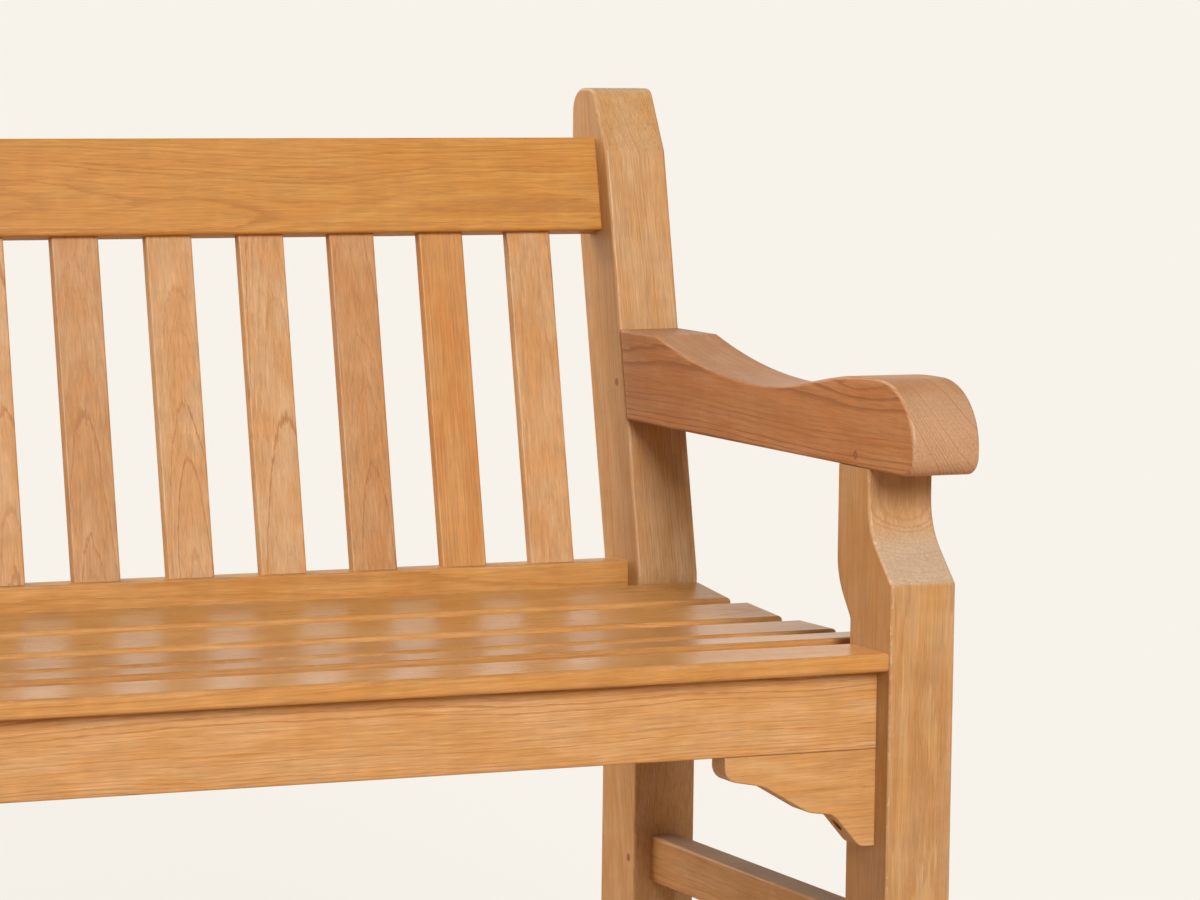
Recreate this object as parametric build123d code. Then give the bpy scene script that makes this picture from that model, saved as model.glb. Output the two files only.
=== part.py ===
from build123d import *
import math
import os

# A garden bench in solid timber: two side frames joined by long rails, a slatted seat and a slatted,
# leaning back. Sizes are in millimetres. X runs along the bench, the sitter's side faces -Y, Z is up.
# The origin is on the ground under the middle of the bench.

# Driving dimensions
bench_length = 1500.0     # over the outer faces of the arms
bench_depth = 675.0       # from the noses of the arms to the backs of the posts
seat_height = 440.0       # top of the front seat slat
back_lean = 12.0          # degrees from upright

# Timber sections
leg_width = 61.0
front_leg_depth = 73.5
rear_leg_depth = 73.0
arm_width = 63.0
rail_thickness = 28.0
back_slat_width = 44.0
back_slat_thickness = 10.0
seat_slat_width = 69.0
seat_slat_thickness = 15.5
bracket_thickness = 24.5
edge_radius = 3.0         # eased arris of legs and rails
arm_edge_radius = 2.8
rail_edge_radius = 2.0
kink_radius = 5.0         # where a leg's face changes direction
seat_slat_radius = 4.0
bracket_edge_radius = 1.5

# Where the frame stands. Depths are measured from the front faces of the front legs.
arm_nose_overhang = 32.0
leg_front = -bench_depth / 2 + arm_nose_overhang
leg_outer = bench_length / 2 - (arm_width - leg_width)
leg_inner = leg_outer - leg_width
leg_middle = (leg_outer + leg_inner) / 2
rear_leg_front = leg_front + 485.0
rear_leg_back = rear_leg_front + rear_leg_depth
lean_height = seat_height + 8.0    # the rear legs bend here and lean back above it
lean_slope = math.tan(math.radians(back_lean))

# Heights above the ground
arm_underside = seat_height + 149.5
arm_crest = seat_height + 226.5
arm_trough = seat_height + 204.0
arm_rear_top = seat_height + 232.0
rail_top = seat_height - seat_slat_thickness
rail_bottom = rail_top - 67.0
rear_rail_top = seat_height + 20.0
stretcher_top = 206.0
stretcher_bottom = 163.0
post_shoulder = seat_height + 395.0
post_top = seat_height + 452.0

# Joinery
tenon_thickness = 12.0
tenon_length = 35.0
side_tenon_length = 25.0
tenon_shoulder = 9.0
slat_housing = 12.0
leg_tenon_width = 24.0    # the stout tenon on top of a front leg
leg_tenon_height = 40.0
stub_tenon_length = 12.0
stub_tenon_shoulder = 15.0
peg_radius = 3.8
peg_length = 45.0
peg_inset = 13.0          # from the edge of a leg to the middle of a peg
rail_peg_spread = 18.0    # a long rail's two pegs, each side of its middle
screw_radius = 2.4
screw_head_radius = 4.4
screw_head_height = 3.0
screw_length = 35.0
counterbore_radius = 5.0
seat_bore_length = 60.0
bracket_bore_length = 30.0
slat_bite = 9.0           # how far a seat screw runs into its slat

# Seat slats, from the front one to the rear one: the level of each slat's front and rear top edge
# against the seat height. Together they make the shallow dish of the seat.
front_slat_setback = 2.8
seat_slat_pitch = 102.8
seat_slat_levels = [(0.0, 0.0), (-0.2, -5.5), (-8.0, -8.6), (-10.0, -5.2), (-6.3, 1.2)]
front_slat_screw_places = (-480.0, -160.0, 160.0, 480.0)

# Back slats
back_slat_count = 15
back_slat_end_gap = 49.0

# The bracket under each end of the front rail
bracket_reach = 140.0
bracket_drop = 82.0
# The corners of its wavy lower edge, from its tip to the leg, each as the distance out from the
# leg, the distance down from the rail, and the radius it is rounded to.
bracket_corners = [
    (bracket_reach, 19.5, 13.0), (104.0, 26.0, 25.0), (62.0, 50.3, 25.0), (38.0, 53.8, 14.0),
    (13.5, bracket_drop, 12.0),
]


def block(x, y, z):
    """A box between two lengths, two depths and two heights, each given as (low, high)."""
    middle = [(low + high) / 2 for low, high in (x, y, z)]
    return Pos(*middle) * Box(*[high - low for low, high in (x, y, z)])


def sawn(profile, x):
    """A timber with one side profile, a closed face drawn in depth and height, between two lengths."""
    return extrude(Plane.YZ.offset(x[0]) * profile, x[1] - x[0])


def eased_along(timber, axis, radius):
    """The timber with every edge that runs along the axis rounded."""
    return fillet(timber.edges().filter_by(axis), radius)


def eased_sides(timber, radius, keep_sharp_at=None):
    """The timber with the outline of its two side faces rounded, but for edges level with a joint."""
    sides = timber.faces().filter_by(Axis.X).sort_by(Axis.X)
    edges = sides[0].edges() + sides[-1].edges()
    if keep_sharp_at is not None:
        edges = [edge for edge in edges if abs(edge.center().Z - keep_sharp_at) > 1.0]
    return fillet(edges, radius)


def leaning(shape):
    """A shape drawn upright from the bend of the rear legs, leaned back to the angle of the posts."""
    return Pos(0, rear_leg_front, lean_height) * Rot(X=-back_lean) * shape


def other_side(shape):
    """The same shape at the left end of the bench."""
    return mirror(shape, about=Plane.YZ)


def both_sides(shapes):
    """Shapes of the right end, and the same at the left end."""
    return shapes + [other_side(shape) for shape in shapes]


def centred(middle, size):
    """The low and high ends of a span about its middle."""
    return (middle - size / 2, middle + size / 2)


# Sizes that follow from the ones above
post_thickness = rear_leg_depth * math.cos(math.radians(back_lean))
side_rail_x = centred(leg_middle, rail_thickness)
side_tenon_x = centred(leg_middle, tenon_thickness)
front_rail_y = centred(leg_front + front_leg_depth / 2, rail_thickness)
rear_rail_y = centred(rear_leg_front + rear_leg_depth / 2, rail_thickness)
back_middle = post_thickness / 2
top_rail_z = (325.5, 412.7)    # measured along the lean, up from the bend


# Tenons, each used both to make the timber that carries it and to cut the mortise that takes it

def long_rail_tenon(rail_y, z):
    """The tenon at the right end of a front or rear rail."""
    thickness = centred(sum(rail_y) / 2, tenon_thickness)
    height = (z[0] + tenon_shoulder, z[1] - tenon_shoulder)
    return block((leg_inner, leg_inner + tenon_length), thickness, height)


def top_rail_tenon():
    """The tenon at the right end of the top rail, in the plane of the back."""
    height = (top_rail_z[0] + tenon_shoulder, top_rail_z[1] - tenon_shoulder)
    upright = block((leg_inner, leg_inner + tenon_length), centred(back_middle, tenon_thickness), height)
    return leaning(upright)


def side_tenons(z):
    """The two tenons of a side rail or side stretcher, which run fore and aft into the right legs."""
    front_face = leg_front + front_leg_depth
    height = (z[0] + tenon_shoulder, z[1] - tenon_shoulder)
    return [
        block(side_tenon_x, (front_face - side_tenon_length, front_face), height),
        block(side_tenon_x, (rear_leg_front, rear_leg_front + side_tenon_length), height),
    ]


def leg_top_tenon():
    """The tenon on top of the right front leg, which stands in the arm."""
    depth = (leg_front + 52.0, leg_front + 90.0)
    height = (arm_underside, arm_underside + leg_tenon_height)
    return block(centred(leg_middle, leg_tenon_width), depth, height)


def arm_tenon():
    """The tenon at the rear end of the right arm, from inside the arm to the middle of the post."""
    depth = (rear_leg_front + 20.0, rear_leg_front + 68.0)
    height = (arm_underside + 10.0, arm_underside + 60.0)
    return block(side_tenon_x, depth, height)


front_rail_z = (rail_bottom, rail_top)
rear_rail_z = (rail_bottom, rear_rail_top)
side_rail_tenon_z = (rail_bottom, rail_top - 12.0)
stretcher_z = (stretcher_bottom, stretcher_top)


# Pegs and screws

def peg_across(y, z):
    """A peg driven outwards from the inner face of the right side frame."""
    return Pos(leg_inner + peg_length / 2, y, z) * Rot(Y=90) * Cylinder(peg_radius, peg_length)


def peg_from_behind(x, back_face, z):
    """A peg driven forwards from a face at the back of a leg."""
    return Pos(x, back_face - peg_length / 2, z) * Rot(X=90) * Cylinder(peg_radius, peg_length)


def side_frame_pegs():
    """The pegs of the right side frame: arm, side rail and stretcher, at their front and rear ends."""
    front = leg_front + front_leg_depth - peg_inset
    rear = rear_leg_front + peg_inset
    side_rail_middle = sum(side_rail_tenon_z) / 2
    stretcher_middle = sum(stretcher_z) / 2
    return [
        peg_across(leg_front + 68.0, arm_underside + 10.0),
        peg_across(leg_front + 537.0, arm_underside + 33.5),
        peg_across(front, side_rail_middle),
        peg_across(rear, side_rail_middle),
        peg_across(front, stretcher_middle),
        peg_across(rear, stretcher_middle),
    ]


def rail_pegs():
    """The pegs that hold the long rails in the right legs, two to a joint, in from the back."""
    across = leg_inner + peg_inset
    front_rail_middle = sum(front_rail_z) / 2
    pegs = []
    for offset in (-rail_peg_spread, rail_peg_spread):
        pegs.append(peg_from_behind(across, leg_front + front_leg_depth, front_rail_middle + offset))
        pegs.append(peg_from_behind(across, rear_leg_back, front_rail_middle + offset))
        upright = peg_from_behind(across, post_thickness, sum(top_rail_z) / 2 + offset)
        pegs.append(leaning(upright))
    return pegs


def screw():
    """A wood screw that points up, with the underside of its head at the origin."""
    tip = 4.0
    shank = Pos(0, 0, (screw_length - tip) / 2) * Cylinder(screw_radius, screw_length - tip)
    point = Pos(0, 0, screw_length - tip / 2) * Cone(screw_radius, 0.4, tip)
    head = Pos(0, 0, -screw_head_height / 2) * Cylinder(screw_head_radius, screw_head_height)
    return head + shank + point


def counterbore(length):
    """The hole that lets a screw's head into the timber, down from the underside of the head."""
    return Pos(0, 0, -length / 2) * Cylinder(counterbore_radius, length)


def bracket_screw_places():
    """Where the right bracket's two screws have their heads: one up into the rail, one into the leg."""
    middle = front_rail_y[0] + bracket_thickness / 2
    up_into_rail = Pos(leg_inner - 118.0, middle, rail_bottom - 14.0)
    out_into_leg = Pos(leg_inner - 14.0, middle, rail_bottom - 64.0) * Rot(Y=90)
    return [up_into_rail, out_into_leg]


def slat_edges(index):
    """The depth and height of a seat slat's front and rear top edges."""
    front = leg_front + front_slat_setback + index * seat_slat_pitch
    front_level, rear_level = seat_slat_levels[index]
    return (front, seat_height + front_level), (front + seat_slat_width, seat_height + rear_level)


def slat_tilt(index):
    """The angle of a seat slat, in degrees, positive where its rear edge is the higher."""
    (front, low), (rear, high) = slat_edges(index)
    return math.degrees(math.atan2(high - low, rear - front))


def seat_screw_places():
    """Where the seat screws have their heads, under each slat in each timber that carries it."""
    places = []
    for index in range(len(seat_slat_levels)):
        (front, front_top), (rear, rear_top) = slat_edges(index)
        tip = (front_top + rear_top) / 2 - seat_slat_thickness + slat_bite
        head = tip - screw_length
        if index == 0:
            places += [Pos(x, sum(front_rail_y) / 2, head) for x in front_slat_screw_places]
        else:
            places += [Pos(x, (front + rear) / 2, head) for x in (-leg_middle, 0.0, leg_middle)]
    return places


side_pegs = both_sides(side_frame_pegs())
long_rail_pegs = both_sides(rail_pegs())
bracket_screws = both_sides([place * screw() for place in bracket_screw_places()])
seat_screws = [place * screw() for place in seat_screw_places()]
seat_bores = [place * counterbore(seat_bore_length) for place in seat_screw_places()]
bracket_bores = both_sides([place * counterbore(bracket_bore_length) for place in bracket_screw_places()])


def boxes_meet(one, other):
    """Whether the bounding boxes of two shapes overlap."""
    a = one.bounding_box()
    b = other.bounding_box()
    apart = [a.max.X < b.min.X, b.max.X < a.min.X, a.max.Y < b.min.Y]
    apart += [b.max.Y < a.min.Y, a.max.Z < b.min.Z, b.max.Z < a.min.Z]
    return not any(apart)


def less(timber, cutters):
    """The timber with the cutters that reach it taken out."""
    for cutter in cutters:
        if boxes_meet(timber, cutter):
            timber = timber - cutter
    return timber


def drilled(timber):
    """The timber with its holes for the pegs, and for the screws that pass through or into it."""
    return less(timber, side_pegs + long_rail_pegs + bracket_screws + seat_screws)


# Side frames, drawn for the right end

def front_leg():
    """A front leg: upright below, then swept back under the arm on both its faces."""
    sweep = 58.0
    kink = seat_height + 57.0
    head_front = leg_front + 43.6
    head_back = leg_front + 98.6
    back = leg_front + front_leg_depth
    back_kink = seat_height + 21.0
    outline = FilletPolyline(
        (leg_front, 0),
        (leg_front, kink),
        (head_front, kink + 43.6),
        (head_front, arm_underside),
        (head_back, arm_underside),
        (head_back, back_kink + 33.0),
        (back, back_kink),
        (back, 0),
        radius=[0, kink_radius, sweep, 0, 0, sweep, kink_radius, 0],
        close=True,
    )
    leg = eased_sides(sawn(make_face(outline), (leg_inner, leg_outer)), edge_radius, arm_underside)
    mortises = [long_rail_tenon(front_rail_y, front_rail_z)]
    mortises += side_tenons(side_rail_tenon_z) + side_tenons(stretcher_z)
    return less(leg, mortises) + leg_top_tenon()


def rear_leg():
    """A rear leg and back post in one: upright to the seat, then leaning back to a rounded top."""
    def lean(z):
        return (z - lean_height) * lean_slope
    back = bench_depth / 2
    back_shoulder = lean_height + (back - rear_leg_back) / lean_slope
    outline = FilletPolyline(
        (rear_leg_front, 0),
        (rear_leg_front, lean_height),
        (rear_leg_front + lean(post_shoulder), post_shoulder),
        (rear_leg_front + 113.5, post_top),
        (back, post_top),
        (back, back_shoulder),
        (rear_leg_back, lean_height),
        (rear_leg_back, 0),
        radius=[0, kink_radius, kink_radius, 11.0, 22.0, 0, kink_radius, 0],
        close=True,
    )
    leg = eased_sides(sawn(make_face(outline), (leg_inner, leg_outer)), edge_radius)
    mortises = [long_rail_tenon(rear_rail_y, rear_rail_z), top_rail_tenon(), arm_tenon()]
    mortises += side_tenons(side_rail_tenon_z) + side_tenons(stretcher_z)
    return less(leg, mortises)


def arm():
    """An arm: flat where it meets the post, scooped for the elbow, and rounded over at its nose."""
    nose_middle = leg_front + 30.0
    nose_height = arm_crest - 54.5
    crest = leg_front + 45.0
    trough = leg_front + 250.0
    scoop_end = leg_front + 455.0
    under_nose = 17.0
    nose = leg_front - arm_nose_overhang

    def on_post(z):
        return (rear_leg_front + (z - lean_height) * lean_slope, z)
    outline = [
        Line(on_post(arm_underside), on_post(arm_rear_top)),
        Line(on_post(arm_rear_top), (scoop_end, arm_rear_top)),
        Spline((scoop_end, arm_rear_top), (trough, arm_trough), tangents=((-1, -0.273), (-1, 0))),
        Spline((trough, arm_trough), (crest, arm_crest), tangents=((-1, 0), (-1, 0))),
        Line((crest, arm_crest), (nose_middle, arm_crest)),
        EllipticalCenterArc(
            (nose_middle, nose_height), nose_middle - nose, arm_crest - nose_height,
            start_angle=90, arc_size=90,
        ),
        Line((nose, nose_height), (nose, arm_underside + under_nose)),
        RadiusArc((nose, arm_underside + under_nose), (nose + under_nose, arm_underside), -under_nose),
        Line((nose + under_nose, arm_underside), on_post(arm_underside)),
    ]
    body = eased_sides(sawn(make_face(outline), (leg_inner, leg_inner + arm_width)), arm_edge_radius)
    return less(body + arm_tenon(), [leg_top_tenon()])


def side_stretcher():
    """The low rail between the two legs of a side frame."""
    length = (leg_front + front_leg_depth, rear_leg_front)
    stretcher = eased_along(block(side_rail_x, length, stretcher_z), Axis.Y, edge_radius)
    front, rear = side_tenons(stretcher_z)
    return stretcher + front + rear


def seat_underside():
    """The line of the slats' undersides from the second slat to the last, as depths and heights."""
    points = []
    for index in range(1, len(seat_slat_levels)):
        tilt = math.radians(slat_tilt(index))
        for depth, height in slat_edges(index):
            under = depth + seat_slat_thickness * math.sin(tilt)
            points.append((under, height - seat_slat_thickness * math.cos(tilt)))
    return points


def bearer_outline(front, rear):
    """The side profile of a timber under the seat: level below, and dished to the slats on top."""
    line = seat_underside()
    dished = [(front, rail_top)] + line + [(rear, line[-1][1])]
    return make_face(Polyline((front, rail_bottom), *dished, (rear, rail_bottom), close=True))


def side_seat_rail():
    """The rail between the legs of a side frame that carries the ends of the seat slats."""
    rail = sawn(bearer_outline(leg_front + front_leg_depth, rear_leg_front), side_rail_x)
    front, rear = side_tenons(side_rail_tenon_z)
    return less(rail + front + rear, seat_bores)


# Long timbers, which run the length of the bench

def long_rail(y, z):
    """A long rail between the inner faces of the legs, with a tenon at each end."""
    body = eased_along(block((-leg_inner, leg_inner), y, z), Axis.X, rail_edge_radius)
    for tenon in both_sides([long_rail_tenon(y, z)]):
        body = body + tenon
    return body


def bearer_tenons():
    """The stub tenons of the centre bearer, in the front rail and in the rear rail."""
    stub = stub_tenon_length
    height = (rail_bottom + stub_tenon_shoulder, rail_top - stub_tenon_shoulder)
    return [
        block(centred(0, tenon_thickness), (front_rail_y[1] - stub, front_rail_y[1]), height),
        block(centred(0, tenon_thickness), (rear_rail_y[0], rear_rail_y[0] + stub), height),
    ]


def front_seat_rail():
    """The rail across the front, under the front slat."""
    return less(long_rail(front_rail_y, front_rail_z), seat_bores + bearer_tenons())


def back_slat_places():
    """The middles of the back slats along the bench, evenly spread between the posts."""
    last = leg_inner - back_slat_end_gap - back_slat_width / 2
    step = 2 * last / (back_slat_count - 1)
    return [-last + step * index for index in range(back_slat_count)]


def back_slat(x):
    """An upright slat of the back, housed at its ends in the rear seat rail and in the top rail."""
    foot = back_middle * lean_slope
    height = (foot, top_rail_z[0] + slat_housing)
    upright = block(centred(x, back_slat_width), centred(back_middle, back_slat_thickness), height)
    return leaning(eased_along(upright, Axis.Z, rail_edge_radius))


back_slats = [back_slat(x) for x in back_slat_places()]


def rear_seat_rail():
    """The deep rail across the back, which ties the rear legs and takes the feet of the back slats."""
    return less(long_rail(rear_rail_y, rear_rail_z), back_slats + bearer_tenons())


def back_top_rail():
    """The top rail of the back, in the plane of the posts."""
    upright = block((-leg_inner, leg_inner), centred(back_middle, rail_thickness), top_rail_z)
    body = leaning(eased_along(upright, Axis.X, edge_radius))
    for tenon in both_sides([top_rail_tenon()]):
        body = body + tenon
    return less(body, back_slats)


def centre_seat_bearer():
    """The bearer under the middle of the seat, between the front and rear rails."""
    body = sawn(bearer_outline(front_rail_y[1], rear_rail_y[0]), centred(0, rail_thickness))
    for tenon in bearer_tenons():
        body = body + tenon
    return less(body, seat_bores)


def seat_slat(index):
    """A slat of the seat. The front one fits between the front legs, the others cover the side rails."""
    reach = leg_inner if index == 0 else leg_outer
    (front, low), (rear, high) = slat_edges(index)
    width = math.hypot(rear - front, high - low)
    flat = block((-reach, reach), (0, width), (-seat_slat_thickness, 0))
    if index == 0:
        eased = eased_along(flat, Axis.X, seat_slat_radius)
    else:
        eased = fillet(flat.edges(), seat_slat_radius)
    return Pos(0, front, low) * Rot(X=slat_tilt(index)) * eased


def corner_bracket():
    """The shaped bracket in the corner under the right end of the front rail."""
    points = [(leg_inner, rail_bottom), (leg_inner - bracket_reach, rail_bottom)]
    points += [(leg_inner - out, rail_bottom - down) for out, down, radius in bracket_corners]
    points.append((leg_inner, rail_bottom - bracket_drop))
    radii = [0, 0] + [radius for out, down, radius in bracket_corners] + [0]
    outline = FilletPolyline(*points, radius=radii, close=True)
    front = Plane((0, front_rail_y[0], 0), x_dir=(1, 0, 0), z_dir=(0, -1, 0))
    shaped = extrude(front * make_face(outline), -bracket_thickness)
    seen = shaped.faces().sort_by(Axis.Y)[0].edges()
    clear_of_joints = [
        edge for edge in seen
        if edge.center().Z < rail_bottom - 1 and edge.center().X < leg_inner - 1
    ]
    return less(fillet(clear_of_joints, bracket_edge_radius), bracket_bores)


def save(name, shape):
    """Write one sub-part."""
    export_step(shape, f"parts/{name}.step")


def save_pair(name, right):
    """Write a timber of the right end and its twin of the left end."""
    save(f"{name}_right", right)
    save(f"{name}_left", other_side(right))


def save_all():
    """Write every sub-part of the bench."""
    os.makedirs("parts", exist_ok=True)
    save_pair("front_leg", drilled(front_leg()))
    save_pair("rear_leg", drilled(rear_leg()))
    save_pair("arm", drilled(arm()))
    save_pair("side_seat_rail", drilled(side_seat_rail()))
    save_pair("side_stretcher", drilled(side_stretcher()))
    save_pair("corner_bracket", drilled(corner_bracket()))
    save("front_seat_rail", drilled(front_seat_rail()))
    save("rear_seat_rail", drilled(rear_seat_rail()))
    save("back_top_rail", drilled(back_top_rail()))
    save("centre_seat_bearer", drilled(centre_seat_bearer()))
    for index, slat in enumerate(back_slats):
        save(f"back_slat_{index + 1:02d}", slat)
    for index in range(len(seat_slat_levels)):
        save(f"seat_slat_{index + 1}", drilled(seat_slat(index)))
    save("side_frame_pegs", Compound(children=side_pegs))
    save("long_rail_pegs", Compound(children=long_rail_pegs))
    save("bracket_screws", Compound(children=bracket_screws))
    save("seat_screws", Compound(children=seat_screws))


save_all()
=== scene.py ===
import math

import bpy
from mathutils import Matrix, Vector


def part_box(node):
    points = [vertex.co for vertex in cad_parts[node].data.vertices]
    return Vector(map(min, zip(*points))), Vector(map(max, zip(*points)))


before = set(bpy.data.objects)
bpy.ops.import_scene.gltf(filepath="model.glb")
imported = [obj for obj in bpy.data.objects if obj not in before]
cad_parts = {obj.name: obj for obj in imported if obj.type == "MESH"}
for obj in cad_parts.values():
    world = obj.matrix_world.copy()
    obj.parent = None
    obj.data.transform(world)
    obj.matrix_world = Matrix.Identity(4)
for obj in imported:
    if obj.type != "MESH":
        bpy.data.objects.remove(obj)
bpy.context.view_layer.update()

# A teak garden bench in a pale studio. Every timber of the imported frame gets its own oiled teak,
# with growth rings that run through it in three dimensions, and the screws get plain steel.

# ---------------------------------------------------------------- camera, light and floor

CAMERA_PLACE = (-1.2155, -3.791, 0.9927)
CAMERA_YAW = math.radians(25.124)
CAMERA_PITCH = math.radians(5.56)
CAMERA_ROLL = math.radians(0.745)
CAMERA_LENS = 144.9

FLOOR_REACH = 400.0
FLOOR_SEEN = (0.074, 0.0714, 0.0664)
FLOOR_GLOW = 0.897
FLOOR_BOUNCE = (0.60, 0.44, 0.31)
BACKDROP_COLOUR = (0.939, 0.905, 0.838)
SKY_COLOUR = (1.0, 0.93, 0.84)
SKY_STRENGTH = 0.23
GLOW_STRENGTH = 1.0
GLOW_ASIDE = (0.35, 0.9)    # the glow sets in and is full, as the cosine of the way off its middle
GLOW_HEIGHT = (0.2, 0.6)    # and it fades out between these sines of the height
KEY_COLOUR = (1.0, 1.0, 1.0)
KEY_STRENGTH = 3.45
KEY_SPREAD = math.radians(24.0)
KEY_HEIGHT = math.radians(24.0)
KEY_TURN = math.radians(-6.0)
WINDOW_COLOUR = (1.0, 0.90, 0.76)
WINDOW_STRENGTH = 2.9
WINDOW_SPREAD = math.radians(60.0)
WINDOW_HEIGHT = math.radians(34.0)
WINDOW_TURN = math.radians(-130.0)


def place_camera():
    """A long lens in front of the bench and to its left, looking at the right-hand end."""
    ahead = Vector((math.sin(CAMERA_YAW) * math.cos(CAMERA_PITCH),
                    math.cos(CAMERA_YAW) * math.cos(CAMERA_PITCH),
                    -math.sin(CAMERA_PITCH)))
    level = Vector((math.cos(CAMERA_YAW), -math.sin(CAMERA_YAW), 0.0))
    upright = level.cross(ahead)
    right = level * math.cos(CAMERA_ROLL) + upright * math.sin(CAMERA_ROLL)
    up = upright * math.cos(CAMERA_ROLL) - level * math.sin(CAMERA_ROLL)
    lens = bpy.data.cameras.new("camera")
    lens.lens = CAMERA_LENS
    lens.sensor_width = 36.0
    lens.clip_end = 2.0 * FLOOR_REACH
    camera = bpy.data.objects.new("camera", lens)
    camera.matrix_world = Matrix((
        (right.x, up.x, -ahead.x, CAMERA_PLACE[0]),
        (right.y, up.y, -ahead.y, CAMERA_PLACE[1]),
        (right.z, up.z, -ahead.z, CAMERA_PLACE[2]),
        (0.0, 0.0, 0.0, 1.0)))
    bpy.context.scene.collection.objects.link(camera)
    bpy.context.scene.camera = camera


def feed(tree, socket, value):
    """Gives a socket another node's output, or a plain value."""
    if isinstance(value, bpy.types.NodeSocket):
        tree.links.new(value, socket)
    else:
        socket.default_value = value


def put(tree, kind, feeds=None, **settings):
    """Adds one node with its settings, and feeds the inputs that are named or numbered."""
    node = tree.nodes.new("ShaderNode" + kind)
    for name, value in settings.items():
        setattr(node, name, value)
    for socket, value in (feeds or {}).items():
        feed(tree, node.inputs[socket], value)
    return node


def hang_lamp(name, colour, strength, spread, height, turn):
    """A far lamp. turn is how far round to the right it stands from straight in front."""
    lamp = bpy.data.lights.new(name, "SUN")
    lamp.color = colour
    lamp.energy = strength
    lamp.angle = spread
    hung = bpy.data.objects.new(name, lamp)
    shines = Vector((-math.sin(turn) * math.cos(height), math.cos(turn) * math.cos(height),
                     -math.sin(height)))
    hung.rotation_euler = shines.to_track_quat("-Z", "Y").to_euler()
    bpy.context.scene.collection.objects.link(hung)


def light_the_studio():
    """A broad lamp low in front, a very broad one high behind on the left, and a dim sky
    that glows like lit paper behind the bench."""
    world = bpy.data.worlds.new("studio")
    world.use_nodes = True
    tree = world.node_tree
    tree.nodes.clear()
    way = put(tree, "TexCoord").outputs["Generated"]
    behind = put(tree, "VectorMath", {0: way, 1: (0.0, 1.0, 0.0)},
                 operation="DOT_PRODUCT").outputs["Value"]
    aside = put(tree, "MapRange", {"Value": behind, "From Min": GLOW_ASIDE[0],
                                   "From Max": GLOW_ASIDE[1],
                                   "To Min": 0.0, "To Max": GLOW_STRENGTH},
                interpolation_type="SMOOTHSTEP").outputs[0]
    rise = put(tree, "SeparateXYZ", {0: way}).outputs["Z"]
    low = put(tree, "MapRange", {"Value": rise, "From Min": GLOW_HEIGHT[0],
                                 "From Max": GLOW_HEIGHT[1],
                                 "To Min": 1.0, "To Max": 0.0},
              interpolation_type="SMOOTHSTEP").outputs[0]
    glow = put(tree, "Math", {0: aside, 1: low}, operation="MULTIPLY").outputs[0]
    strength = put(tree, "Math", {0: glow, 1: SKY_STRENGTH}, operation="ADD").outputs[0]
    sky = put(tree, "Background", {"Color": (*SKY_COLOUR, 1.0), "Strength": strength})
    paper = put(tree, "Background", {"Color": (*BACKDROP_COLOUR, 1.0), "Strength": 1.0})
    seen = put(tree, "LightPath")
    either = put(tree, "MixShader", {0: seen.outputs["Is Camera Ray"],
                                     1: sky.outputs[0], 2: paper.outputs[0]})
    put(tree, "OutputWorld", {"Surface": either.outputs[0]})
    bpy.context.scene.world = world
    hang_lamp("key", KEY_COLOUR, KEY_STRENGTH, KEY_SPREAD, KEY_HEIGHT, KEY_TURN)
    hang_lamp("window", WINDOW_COLOUR, WINDOW_STRENGTH, WINDOW_SPREAD, WINDOW_HEIGHT, WINDOW_TURN)


def lay_floor():
    """A plain pale floor that runs out to the skyline, and throws little light back up."""
    mesh = bpy.data.meshes.new("floor")
    far = FLOOR_REACH
    mesh.from_pydata([(-far, -far, 0), (far, -far, 0), (far, far, 0), (-far, far, 0)],
                     [], [(0, 1, 2, 3)])
    floor = bpy.data.objects.new("floor", mesh)
    bpy.context.scene.collection.objects.link(floor)
    paint = bpy.data.materials.new("pale_floor")
    paint.use_nodes = True
    tree = paint.node_tree
    tree.nodes.clear()
    bounced = put(tree, "BsdfDiffuse", {"Color": (*FLOOR_BOUNCE, 1.0)})
    matt = put(tree, "BsdfDiffuse", {"Color": (*FLOOR_SEEN, 1.0)})
    lit = put(tree, "Emission", {"Color": (*BACKDROP_COLOUR, 1.0), "Strength": FLOOR_GLOW})
    shown = put(tree, "AddShader", {0: matt.outputs[0], 1: lit.outputs[0]})
    seen = put(tree, "LightPath")
    either = put(tree, "MixShader", {0: seen.outputs["Is Camera Ray"],
                                     1: bounced.outputs[0], 2: shown.outputs[0]})
    put(tree, "OutputMaterial", {"Surface": either.outputs[0]})
    mesh.materials.append(paint)


place_camera()
light_the_studio()
lay_floor()
bpy.context.scene.view_settings.view_transform = "Standard"

# ---------------------------------------------------------------- drawing node trees


def sum_of(tree, first, second):
    return put(tree, "Math", {0: first, 1: second}, operation="ADD").outputs[0]


def take(tree, first, second):
    return put(tree, "Math", {0: first, 1: second}, operation="SUBTRACT").outputs[0]


def times(tree, first, second):
    return put(tree, "Math", {0: first, 1: second}, operation="MULTIPLY").outputs[0]


def stretch(tree, place, amounts):
    """The place with each of its directions stretched by its own amount."""
    return put(tree, "VectorMath", {0: place, 1: amounts}, operation="MULTIPLY").outputs[0]


def ease(tree, value, low, high, start=0.0, end=1.0):
    """start where the value is low and less, end where it is high and more, eased between."""
    return put(tree, "MapRange", {"Value": value, "From Min": low, "From Max": high,
                                  "To Min": start, "To Max": end},
               interpolation_type="SMOOTHSTEP").outputs[0]


def cloud(tree, place, detail=2.0, roughness=0.5):
    """Soft noise about one unit across, from 0 to 1."""
    return put(tree, "TexNoise", {"Vector": place, "Scale": 1.0, "Detail": detail,
                                  "Roughness": roughness}, noise_dimensions="3D")


def tinted(tree, share, first, second, way="MIX"):
    """The first colour, blended by the share with the second."""
    node = put(tree, "Mix", {0: share, 6: first, 7: second}, data_type="RGBA", blend_type=way)
    return node.outputs[2]


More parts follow.
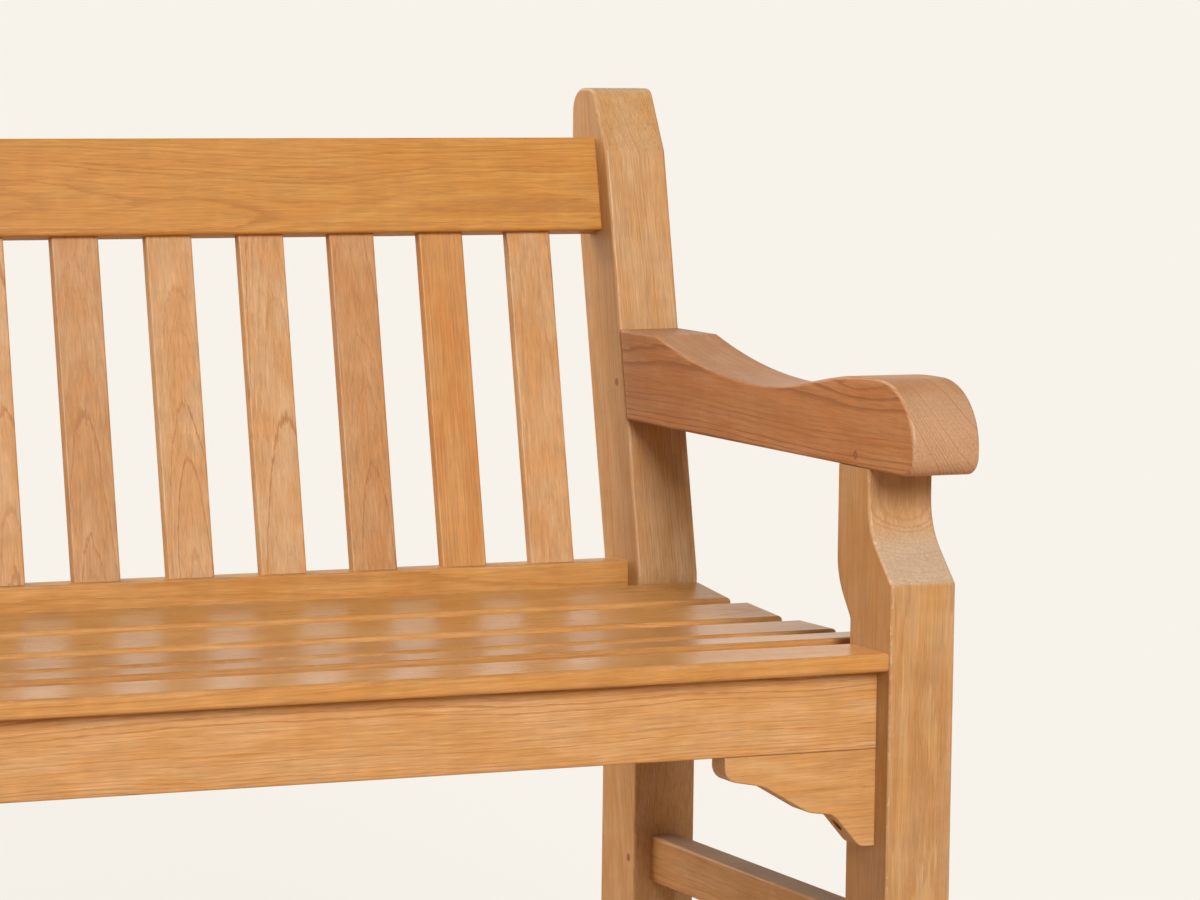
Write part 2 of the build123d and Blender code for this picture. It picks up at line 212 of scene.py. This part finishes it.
def new_group(name, takes, gives):
    """An empty group with named sockets. takes: name to (kind, value); gives: name to kind."""
    group = bpy.data.node_groups.new(name, "ShaderNodeTree")
    for socket, (kind, value) in takes.items():
        made = group.interface.new_socket(socket, in_out="INPUT", socket_type="NodeSocket" + kind)
        if value is not None:
            made.default_value = value
    for socket, kind in gives.items():
        group.interface.new_socket(socket, in_out="OUTPUT", socket_type="NodeSocket" + kind)
    return group, group.nodes.new("NodeGroupInput").outputs, group.nodes.new("NodeGroupOutput").inputs


# ---------------------------------------------------------------- what teak does

# How often each pattern repeats in a metre, across the fibres twice and then along them.
SLOW_BENDS = (6.0, 6.0, 2.6)
QUICK_BENDS = (30.0, 30.0, 9.0)
COARSE_FEATHERS = (230.0, 230.0, 20.0)
FINE_FEATHERS = (900.0, 900.0, 60.0)
STREAKS = (460.0, 460.0, 19.0)
FIBRES = (1100.0, 1100.0, 42.0)
PORES = (1500.0, 1500.0, 150.0)
CLOUDS = (16.0, 16.0, 5.0)
RIPPLES = (30.0, 30.0, 75.0)
MOTTLES = (62.0, 62.0, 15.0)
FLECKS = (260.0, 260.0, 130.0)
WORN_AND_HIGHLIGHT_SPELLS = (9.0, 9.0, 9.0)
STEEL_CLOUDS = (400.0, 400.0, 400.0)
TURNING_MARKS = (900.0, 900.0, 6000.0)

SLOW_SWING = 3.0            # of the wander, in the rings' slow bends
QUICK_SWING = 0.45          # and in their quick ones
COARSE_DEPTH = 0.0011       # metres that feathering moves a ring line
FINE_DEPTH = 0.0007
RING_DRIFT = 70.0           # how often in a metre the rings grow wider or narrower
RING_UNEVENNESS = 2.4
LINE_RISE = 0.10            # the sharp side of a ring line, as a share of the ring
STREAK_CONTRAST = 0.66
FIBRE_CONTRAST = 0.50
RIPPLE_CONTRAST = 0.16
STREAK_ROUGHNESS = 0.16     # what each mask adds to the roughness
PORE_ROUGHNESS = 0.12
CLOUD_ROUGHNESS = 0.06
DUST_ROUGHNESS = 0.4
WORN_ROUGHNESS = 0.25
FIBRE_HEIGHT = 0.35         # and to the height
LINE_HEIGHT = 0.5
PORE_HEIGHT = 0.35
STREAK_HEIGHT = 0.5
ARRIS = (0.04, 0.2)         # how far a surface has turned where the wear and painted highlight sets in and is full
ACROSS_THE_FIBRES = (0.25, 0.8)
FACING_UP = (0.4, 0.95)
STEEL_DARK = (0.42, 0.41, 0.39, 1.0)
STEEL_LIGHT = (0.58, 0.57, 0.54, 1.0)
STEEL_ROUGHNESS = (0.3, 0.5)
STEEL_BUMP = 0.2
STEEL_DEPTH = 0.0002        # metres
GRAIN_BUMP = 0.25
GRAIN_DEPTH = 0.0004        # metres
LATE_WOOD = 0.09
CUT_ACROSS_FIGURE = 0.5
DUST_COLOUR = (0.42, 0.33, 0.25)
# the arrises' lighter colour: partly bleached by wear, partly a painted highlight
BLEACHED_AND_HIGHLIGHT_COLOUR = (0.72, 0.58, 0.44)

def growth_rings_group():
    """The tree's rings, as a distance from its heart that wanders slowly up the trunk.

    Place is measured from the heart, with the grain along its third direction. The distance
    is divided by the ring width, each ring keeps its own strength, and a ring is a dark line
    of early wood that fades into paler wood. Fine noise drawn out along the grain feathers it.
    """
    group, given, out = new_group(
        "growth_rings",
        {"Place": ("Vector", None), "Ring Width": ("Float", 0.003), "Wander": ("Float", 0.008),
         "Feather": ("Float", 1.0), "Line Width": ("Float", 0.4), "Seed": ("Float", 0.0)},
        {"Line": "Float", "Tone": "Float"})
    place = given["Place"]
    moved = put(group, "VectorMath",
                {0: place, 1: put(group, "CombineXYZ", {
                    0: times(group, given["Seed"], 1.37), 1: times(group, given["Seed"], 2.11),
                    2: times(group, given["Seed"], 3.73)}).outputs[0]},
                operation="ADD").outputs[0]
    slow = cloud(group, stretch(group, moved, SLOW_BENDS), detail=1.0)
    quick = cloud(group, stretch(group, moved, QUICK_BENDS), detail=2.0)
    swing = put(group, "VectorMath", {0: slow.outputs["Color"], 1: (0.5, 0.5, 0.5)},
                operation="SUBTRACT").outputs[0]
    swing = put(group, "VectorMath", {0: swing, "Scale": times(group, given["Wander"], SLOW_SWING)},
                operation="SCALE").outputs[0]
    wave = put(group, "VectorMath", {0: quick.outputs["Color"], 1: (0.5, 0.5, 0.5)},
               operation="SUBTRACT").outputs[0]
    wave = put(group, "VectorMath", {0: wave, "Scale": times(group, given["Wander"], QUICK_SWING)},
               operation="SCALE").outputs[0]
    bent = put(group, "VectorMath", {0: place, 1: swing}, operation="ADD").outputs[0]
    bent = put(group, "VectorMath", {0: bent, 1: wave}, operation="ADD").outputs[0]
    across = stretch(group, bent, (1.0, 1.0, 0.0))
    distance = put(group, "VectorMath", {0: across}, operation="LENGTH").outputs["Value"]

    coarse = cloud(group, stretch(group, moved, COARSE_FEATHERS), detail=2.0).outputs[0]
    fine = cloud(group, stretch(group, moved, FINE_FEATHERS), detail=1.0).outputs[0]
    ragged = sum_of(group, times(group, take(group, coarse, 0.5), COARSE_DEPTH),
                    times(group, take(group, fine, 0.5), FINE_DEPTH))
    distance = sum_of(group, distance, times(group, ragged, given["Feather"]))

    uneven = put(group, "TexNoise", {"W": sum_of(group, times(group, distance, RING_DRIFT),
                                                 given["Seed"]),
                                     "Scale": 1.0, "Detail": 1.0}, noise_dimensions="1D")
    count = put(group, "Math", {0: distance, 1: given["Ring Width"]},
                operation="DIVIDE").outputs[0]
    count = sum_of(group, count, times(group, uneven.outputs[0], RING_UNEVENNESS))
    ring = put(group, "Math", {0: count}, operation="FLOOR").outputs[0]
    through = put(group, "Math", {0: count}, operation="FRACT").outputs[0]
    chance = put(group, "TexWhiteNoise", {"W": sum_of(group, ring, given["Seed"])},
                 noise_dimensions="1D").outputs["Value"]
    strength = ease(group, chance, 0.1, 1.0, 0.22, 1.0)
    rise = ease(group, through, 0.0, LINE_RISE)
    fall = ease(group, through, LINE_RISE, sum_of(group, given["Line Width"], LINE_RISE), 1.0, 0.0)
    line = times(group, times(group, rise, fall), strength)
    feed(group, out["Line"], line)
    feed(group, out["Tone"], through)
    return group


def fibre_group():
    """Fibre and pores: streaks drawn far out along the grain, and short dark open pores."""
    group, given, out = new_group(
        "fibre",
        {"Place": ("Vector", None), "Seed": ("Float", 0.0)},
        {"Streak": "Float", "Fibre": "Float", "Pore": "Float", "Cloudy": "Float",
         "Ripple": "Float", "Mottle": "Float"})
    moved = put(group, "VectorMath",
                {0: given["Place"], 1: put(group, "CombineXYZ", {
                    0: times(group, given["Seed"], 2.71), 1: times(group, given["Seed"], 0.93),
                    2: times(group, given["Seed"], 1.91)}).outputs[0]},
                operation="ADD").outputs[0]
    streak = cloud(group, stretch(group, moved, STREAKS), detail=3.0, roughness=0.6)
    fibre = cloud(group, stretch(group, moved, FIBRES), detail=2.0)
    pore = cloud(group, stretch(group, moved, PORES), detail=1.0)
    cloudy = cloud(group, stretch(group, moved, CLOUDS), detail=2.0)
    ripple = cloud(group, stretch(group, moved, RIPPLES), detail=1.0)
    mottle = cloud(group, stretch(group, moved, MOTTLES), detail=2.5)
    feed(group, out["Streak"], streak.outputs[0])
    feed(group, out["Fibre"], fibre.outputs[0])
    feed(group, out["Pore"], ease(group, pore.outputs[0], 0.60, 0.72))
    feed(group, out["Cloudy"], ease(group, cloudy.outputs[0], 0.3, 0.7))
    feed(group, out["Ripple"], ripple.outputs[0])
    feed(group, out["Mottle"], ease(group, mottle.outputs[0], 0.34, 0.66))
    return group


def oiled_face_group():
    """Puts the figure together: colour, roughness and height of one oiled teak face.

    Body is the timber's own colour. Pale, Warm and Deep are what it turns to in its lighter
    clouds, in its smaller orange patches and in its ring lines. Ends is its colour where the
    saw cut across the fibres. Figure says how strongly the lines show. Dust lies on what faces
    up, and the arris mark lightens the arrises, partly bleached by wear and partly a painted highlight.
    """
    group, given, out = new_group(
        "oiled_face",
        {"Line": ("Float", 0.0), "Tone": ("Float", 0.0), "Streak": ("Float", 0.5),
         "Fibre": ("Float", 0.5), "Pore": ("Float", 0.0), "Cloudy": ("Float", 0.5),
         "Ripple": ("Float", 0.5), "Mottle": ("Float", 0.5), "Dust": ("Float", 0.0),
         "Worn And Highlight": ("Float", 0.0), "Warm": ("Color", (0.4, 0.16, 0.04, 1.0)),
         "Body": ("Color", (0.45, 0.2, 0.06, 1.0)),
         "Pale": ("Color", (0.55, 0.3, 0.14, 1.0)), "Deep": ("Color", (0.2, 0.06, 0.02, 1.0)),
         "Ends": ("Color", (0.45, 0.27, 0.13, 1.0)), "Cut Across": ("Float", 0.0),
         "Figure": ("Float", 0.5), "Roughness": ("Float", 0.4)},
        {"Colour": "Color", "Roughness": "Float", "Height": "Float"})
    ground = tinted(group, given["Cloudy"], given["Body"], given["Pale"])
    ground = tinted(group, given["Mottle"], ground, given["Warm"])
    ground = tinted(group, given["Cut Across"], ground, given["Ends"])
    late = ease(group, given["Tone"], 0.35, 1.0, 0.0, LATE_WOOD)
    lines = sum_of(group, given["Line"], late)
    broken = ease(group, given["Streak"], 0.25, 0.75, 0.55, 1.15)
    shown = times(group, times(group, lines, broken), given["Figure"])
    shown = times(group, shown, ease(group, given["Cut Across"], 0.0, 1.0, 1.0, CUT_ACROSS_FIGURE))
    shown = put(group, "Math", {0: shown}, operation="ADD", use_clamp=True).outputs[0]
    figured = tinted(group, shown, ground, given["Deep"])
    brightness = sum_of(group, times(group, take(group, given["Streak"], 0.5), STREAK_CONTRAST),
                        times(group, take(group, given["Fibre"], 0.5), FIBRE_CONTRAST))
    rippled = times(group, take(group, given["Ripple"], 0.5), RIPPLE_CONTRAST)
    brightness = sum_of(group, brightness, rippled)
    brightness = sum_of(group, brightness, 1.0)
    lit = put(group, "VectorMath", {0: figured, "Scale": brightness}, operation="SCALE").outputs[0]
    speck = times(group, given["Pore"], sum_of(group, times(group, given["Line"], 0.5), 0.16))
    speckled = tinted(group, speck, lit, given["Deep"])
    dusty = tinted(group, given["Dust"], speckled, (*DUST_COLOUR, 1.0))
    # the arrises lightened: partly wear, partly a painted highlight
    finished = tinted(group, given["Worn And Highlight"], dusty, (*BLEACHED_AND_HIGHLIGHT_COLOUR, 1.0))
    feed(group, out["Colour"], finished)
    rough = sum_of(group, given["Roughness"], times(group, take(group, given["Streak"], 0.5),
                                                   STREAK_ROUGHNESS))
    rough = sum_of(group, rough, times(group, given["Pore"], PORE_ROUGHNESS))
    rough = sum_of(group, rough, times(group, take(group, given["Cloudy"], 0.5), CLOUD_ROUGHNESS))
    rough = sum_of(group, rough, times(group, given["Dust"], DUST_ROUGHNESS))
    rough = sum_of(group, rough, times(group, given["Worn And Highlight"], WORN_ROUGHNESS))
    feed(group, out["Roughness"], rough)
    height = take(group, times(group, given["Fibre"], FIBRE_HEIGHT),
                  times(group, given["Line"], LINE_HEIGHT))
    height = take(group, height, times(group, given["Pore"], PORE_HEIGHT))
    height = sum_of(group, height, times(group, given["Streak"], STREAK_HEIGHT))
    feed(group, out["Height"], height)
    return group


def arris_wear_and_highlight_group():
    """Wear along the arrises, partly a painted highlight. Side is the way the timber's wide face
    points: an arris is where the surface turns from that face to the next one, and the lighter mark
    comes and goes along it."""
    group, given, out = new_group(
        "arris_wear_and_highlight",
        {"Place": ("Vector", None), "Side": ("Vector", (1.0, 0.0, 0.0)), "Seed": ("Float", 0.0),
         "Amount": ("Float", 0.1)},
        {"Worn And Highlight": "Float"})
    facing = put(group, "VectorMath", {0: put(group, "NewGeometry").outputs["Normal"],
                                       1: given["Side"]}, operation="DOT_PRODUCT").outputs["Value"]
    square = times(group, facing, facing)
    turning = times(group, square, take(group, 1.0, square))
    moved = put(group, "VectorMath", {0: given["Place"], 1: given["Seed"]},
                operation="ADD").outputs[0]
    fleck = cloud(group, stretch(group, moved, FLECKS), detail=3.0, roughness=0.7)
    spell = cloud(group, stretch(group, moved, WORN_AND_HIGHLIGHT_SPELLS), detail=1.0)
    share = sum_of(group, ease(group, fleck.outputs[0], 0.52, 0.66),
                   ease(group, spell.outputs[0], 0.3, 0.7, 0.05, 0.45))
    worn_and_highlight = times(group, ease(group, turning, *ARRIS), share)
    feed(group, out["Worn And Highlight"], times(group, worn_and_highlight, given["Amount"]))
    return group


def steel_face_group():
    """Dull zinc-coated steel: a cloudy grey with fine turning marks."""
    group, given, out = new_group("steel_face", {"Place": ("Vector", None)},
                                  {"Colour": "Color", "Roughness": "Float", "Height": "Float"})
    cloudy = cloud(group, stretch(group, given["Place"], STEEL_CLOUDS), detail=2.0)
    marks = cloud(group, stretch(group, given["Place"], TURNING_MARKS), detail=1.0)
    feed(group, out["Colour"], tinted(group, ease(group, cloudy.outputs[0], 0.3, 0.7),
                                      STEEL_DARK, STEEL_LIGHT))
    feed(group, out["Roughness"], ease(group, cloudy.outputs[0], 0.2, 0.8,
                                         *STEEL_ROUGHNESS))
    feed(group, out["Height"], marks.outputs[0])
    return group


GROWTH_RINGS = growth_rings_group()
ARRIS_WEAR_AND_HIGHLIGHT = arris_wear_and_highlight_group()
STEEL_FACE = steel_face_group()
FIBRE = fibre_group()
OILED_FACE = oiled_face_group()


def use_group(tree, group, feeds):
    node = tree.nodes.new("ShaderNodeGroup")
    node.node_tree = group
    for socket, value in feeds.items():
        feed(tree, node.inputs[socket], value)
    return node


def tone_of(colour, amounts):
    return (*(part * amount for part, amount in zip(colour, amounts)), 1.0)


def teak(name, centre, grain, heart, ring=0.003, wander=0.006, feather=1.0, line=0.4, seed=0.0,
         body=(0.6, 0.28, 0.09), figure=0.4, pale=(1.08, 1.16, 1.35), deep=(0.55, 0.38, 0.26),
         ends=(1.0, 1.2, 1.6), warm=(0.95, 0.85, 0.68), roughness=0.4, polish=0.35, dust=0.0,
         wear=0.08, side=(1, 0, 0)):
    """One timber's teak. grain is the way its fibres run; heart is where the tree's middle
    passes the timber's centre, measured from there in metres. pale, warm, deep and ends say how
    the body's red, green and blue change in clouds, in patches, in ring lines and where the saw
    cut across. side is the way its wide face points."""
    material = bpy.data.materials.new(name)
    material.use_nodes = True
    tree = material.node_tree
    tree.nodes.clear()
    along = Vector(grain).normalized()
    local = put(tree, "Mapping", {
        "Vector": put(tree, "TexCoord").outputs["Object"],
        "Location": Vector(centre) + Vector(heart),
        "Rotation": along.to_track_quat("Z", "Y").to_euler()}, vector_type="TEXTURE").outputs[0]
    rings = use_group(tree, GROWTH_RINGS, {
        "Place": local, "Ring Width": ring, "Wander": wander, "Feather": feather,
        "Line Width": line, "Seed": seed})
    fibre = use_group(tree, FIBRE, {"Place": local, "Seed": seed})
    normal = put(tree, "NewGeometry").outputs["Normal"]
    facing = put(tree, "VectorMath", {0: normal, 1: along},
                 operation="DOT_PRODUCT").outputs["Value"]
    upward = put(tree, "SeparateXYZ", {0: normal}).outputs["Z"]
    # lighter arrises, partly bleached by wear and partly a painted highlight
    worn_and_highlight = use_group(tree, ARRIS_WEAR_AND_HIGHLIGHT, {"Place": local, "Side": side, "Seed": seed, "Amount": wear})
    facing = put(tree, "Math", {0: facing}, operation="ABSOLUTE").outputs[0]
    face = use_group(tree, OILED_FACE, {
        "Line": rings.outputs["Line"], "Tone": rings.outputs["Tone"],
        "Streak": fibre.outputs["Streak"], "Fibre": fibre.outputs["Fibre"],
        "Pore": fibre.outputs["Pore"], "Cloudy": fibre.outputs["Cloudy"],
        "Ripple": fibre.outputs["Ripple"], "Mottle": fibre.outputs["Mottle"],
        "Dust": ease(tree, upward, *FACING_UP, 0.0, dust), "Worn And Highlight": worn_and_highlight.outputs["Worn And Highlight"],
        "Warm": tone_of(body, warm), "Body": (*body, 1.0), "Pale": tone_of(body, pale),
        "Deep": tone_of(body, deep), "Ends": tone_of(body, ends),
        "Cut Across": ease(tree, facing, *ACROSS_THE_FIBRES), "Figure": figure, "Roughness": roughness})
    bump = put(tree, "Bump", {"Height": face.outputs["Height"], "Strength": GRAIN_BUMP,
                              "Distance": GRAIN_DEPTH})
    shader = put(tree, "BsdfPrincipled", {
        "Base Color": face.outputs["Colour"], "Roughness": face.outputs["Roughness"],
        "Normal": bump.outputs[0], "Specular IOR Level": polish})
    put(tree, "OutputMaterial", {"Surface": shader.outputs[0]})
    return material


def screw_steel():
    """The steel of the screws."""
    material = bpy.data.materials.new("screw_steel")
    material.use_nodes = True
    tree = material.node_tree
    tree.nodes.clear()
    face = use_group(tree, STEEL_FACE, {"Place": put(tree, "TexCoord").outputs["Object"]})
    bump = put(tree, "Bump", {"Height": face.outputs["Height"], "Strength": STEEL_BUMP,
                              "Distance": STEEL_DEPTH})
    shader = put(tree, "BsdfPrincipled", {
        "Base Color": face.outputs["Colour"], "Roughness": face.outputs["Roughness"],
        "Normal": bump.outputs[0], "Metallic": 1.0})
    put(tree, "OutputMaterial", {"Surface": shader.outputs[0]})
    return material


def finish_with(node, material):
    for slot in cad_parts[node].material_slots:
        slot.material = material


def middle(node):
    low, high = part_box(node)
    return (low + high) / 2.0


# ---------------------------------------------------------------- how each timber was sawn

LEAN = math.radians(12.0)
LEANING_FACE = (0.0, math.cos(LEAN), -math.sin(LEAN))
SEAT_FACE = dict(side=(0, 0, 1), polish=0.6, roughness=0.32)

# Teak's own colours, each as its red, green and blue.
GOLDEN = (0.54, 0.27, 0.05)
AMBER = (0.54, 0.28, 0.08)
HONEY = (0.61, 0.33, 0.10)
STRAW = (0.63, 0.38, 0.16)
PALE = (0.57, 0.36, 0.17)
DUSKY = (0.51, 0.30, 0.13)
RUSSET = (0.54, 0.26, 0.10)
PEG_BROWN = (0.22, 0.09, 0.035)
PEG_ENDS = (1.7, 1.9, 2.0)
PEG_HEART = (0.0, 0.03, 0.03)
SLAT_LINES = (0.62, 0.42, 0.26)
SLAT_PATCHES = (0.96, 0.80, 0.60)
SLAT_LINE_WIDTH = 0.16
SLAT_FEATHER = 1.8
LEFT_SEED_STEP = 10.0

# Each timber's colour and saw cut: grain direction, heart, and how its rings lie and show.
LONG_CUTS = {
    "back_top_rail": dict(body=GOLDEN,
                          grain=(1, 0.012, 0.0), heart=(0, 0.046, -0.030), ring=0.0019,
                          wander=0.007, feather=1.5, line=0.45, seed=6.3, figure=0.42,
                          deep=(0.62, 0.46, 0.34), side=LEANING_FACE,
                          pale=(1.05, 1.12, 1.25)),
    "front_seat_rail": dict(body=STRAW,
                            grain=(1, 0.006, 0.006), heart=(0, 0.085, 0.075), ring=0.0023,
                            wander=0.006, feather=1.4, line=0.35, seed=8.4, figure=0.5,
                            side=(0, 1, 0)),
    "rear_seat_rail": dict(body=HONEY,
                           grain=(1, 0.0, 0.0), heart=(0, 0.07, 0.06), ring=0.0022,
                           wander=0.006, line=0.5, seed=5.2, figure=0.45, side=(0, 1, 0)),
    "centre_seat_bearer": dict(body=HONEY,
                               grain=(0, 1, 0), heart=(0.05, 0, 0.03), seed=12.0),
    "seat_slat_1": dict(body=HONEY,
                        grain=(1, 0.0, 0.02), heart=(0, 0.02, -0.06), seed=21.0, figure=0.34,
                        **SEAT_FACE),
    "seat_slat_2": dict(body=AMBER,
                        grain=(1, 0.0, 0.01), heart=(0, -0.05, -0.05), seed=22.3, figure=0.3,
                        **SEAT_FACE),
    "seat_slat_3": dict(body=AMBER,
                        grain=(1, 0.01, 0.0), heart=(0, 0.06, -0.05), seed=23.7, figure=0.34,
                        **SEAT_FACE),
    "seat_slat_4": dict(body=HONEY,
                        grain=(1, 0.0, -0.02), heart=(0, 0.0, -0.05), seed=24.1, figure=0.34,
                        **SEAT_FACE),
    "seat_slat_5": dict(body=HONEY,
                        grain=(1, 0.0, 0.01), heart=(0, -0.04, -0.06), seed=25.9, figure=0.3,
                        **SEAT_FACE),
}
# The right one of each pair; the left one has its heart on the other side.
PAIRED_CUTS = {
    "front_leg": dict(body=PALE,
                      grain=(0.004, 0.006, 1), heart=(0.006, 0.085, 0), ring=0.0022,
                      wander=0.004, line=0.5, seed=31.0, figure=0.3, dust=0.12, wear=0.3,
                      pale=(1.06, 1.14, 1.3), ends=(1.10, 1.5, 2.4)),
    "rear_leg": dict(body=PALE,
                     grain=(0.0, 0.17, 1), heart=(0.12, 0.02, 0), ring=0.0020,
                     wander=0.004, line=0.5, seed=33.0, figure=0.36, ends=(1.04, 1.24, 1.6)),
    "arm": dict(body=RUSSET,
                grain=(0.0, 1, 0.012), heart=(0.09, 0, 0.05), ring=0.0031, wander=0.007,
                line=0.36, seed=36.0, figure=0.7, deep=(0.54, 0.42, 0.38), dust=0.14,
                ends=(1.02, 1.42, 2.2), pale=(1.12, 1.26, 1.5)),
    "corner_bracket": dict(body=STRAW,
                           grain=(1, 0.0, 0.02), heart=(0, 0.07, 0.03), ring=0.0024,
                           wander=0.005, line=0.5, seed=41.0, figure=0.2, side=(0, 1, 0)),
    "side_stretcher": dict(body=PALE,
                           grain=(0.01, 1, 0.0), heart=(0.05, 0, 0.05), ring=0.003,
                           wander=0.006, seed=43.0, figure=0.36, dust=0.55),
    "side_seat_rail": dict(body=HONEY,
                           grain=(0.01, 1, 0.0), heart=(0.05, 0, 0.03), seed=45.0),
}
# Back slats, left to right: how far the heart lies aside and behind in metres, the angle at which
# it leaves the face going up in radians, ring width, wander, figure, a seed, and the colour.
SLAT_CUTS = (
    (0.004, 0.030, 0.07, 0.0045, 0.006, 0.85, 1.0, PALE),
    (-0.006, 0.034, 0.05, 0.0050, 0.006, 0.8, 2.0, DUSKY),
    (0.010, 0.030, -0.06, 0.0042, 0.006, 0.8, 3.0, STRAW),
    (0.050, 0.030, 0.02, 0.0030, 0.005, 0.6, 4.0, AMBER),
    (-0.002, 0.028, 0.08, 0.0048, 0.007, 0.85, 5.0, PALE),
    (0.008, 0.035, 0.05, 0.0045, 0.006, 0.8, 6.0, STRAW),
    (-0.012, 0.030, -0.05, 0.0050, 0.007, 0.8, 7.0, DUSKY),
    (0.002, 0.032, 0.07, 0.0042, 0.007, 0.8, 8.0, PALE),
    (0.012, 0.028, 0.07, 0.0046, 0.007, 0.8, 9.0, PALE),
    (-0.004, 0.022, 0.07, 0.0036, 0.006, 0.6, 10.0, DUSKY),
    (0.002, 0.024, 0.08, 0.0040, 0.006, 0.9, 11.0, PALE),
    (0.008, 0.022, 0.08, 0.0042, 0.006, 0.9, 12.4, PALE),
    (0.004, 0.022, 0.08, 0.0040, 0.007, 0.85, 13.0, DUSKY),
    (0.060, 0.030, 0.01, 0.0030, 0.003, 0.7, 14.0, AMBER),
    (0.000, 0.026, 0.06, 0.0044, 0.007, 0.6, 15.0, PALE),
)


def give_every_timber_its_teak():
    for node, cut in LONG_CUTS.items():
        finish_with(node, teak(node + "_teak", middle(node), **cut))
    for pair, cut in PAIRED_CUTS.items():
        for side, way in (("right", 1.0), ("left", -1.0)):
            node = pair + "_" + side
            own = dict(cut)
            aside, back, up = cut["heart"]
            own["heart"] = (way * aside, back, up)
            own["seed"] = cut["seed"] + (LEFT_SEED_STEP if side == "left" else 0.0)
            finish_with(node, teak(node + "_teak", middle(node), **own))
    for number, cut in enumerate(SLAT_CUTS, 1):
        aside, behind, leaves, ring, wander, figure, seed, body = cut
        node = "back_slat_%02d" % number
        up_the_slat = (0.0, math.sin(LEAN + leaves), math.cos(LEAN + leaves))
        finish_with(node, teak(node + "_teak", middle(node), up_the_slat, (aside, behind, 0.0),
                               ring, wander, seed=seed, figure=figure, line=SLAT_LINE_WIDTH,
                               feather=SLAT_FEATHER,
                               body=body, deep=SLAT_LINES, warm=SLAT_PATCHES,
                               side=LEANING_FACE))
    for node in ("side_frame_pegs", "long_rail_pegs"):
        way = (1, 0, 0) if node.startswith("side") else (0, 1, 0)
        finish_with(node, teak(node + "_teak", middle(node), way, PEG_HEART,
                               body=PEG_BROWN, ends=PEG_ENDS))
    steel = screw_steel()
    for node in ("bracket_screws", "seat_screws"):
        finish_with(node, steel)


give_every_timber_its_teak()
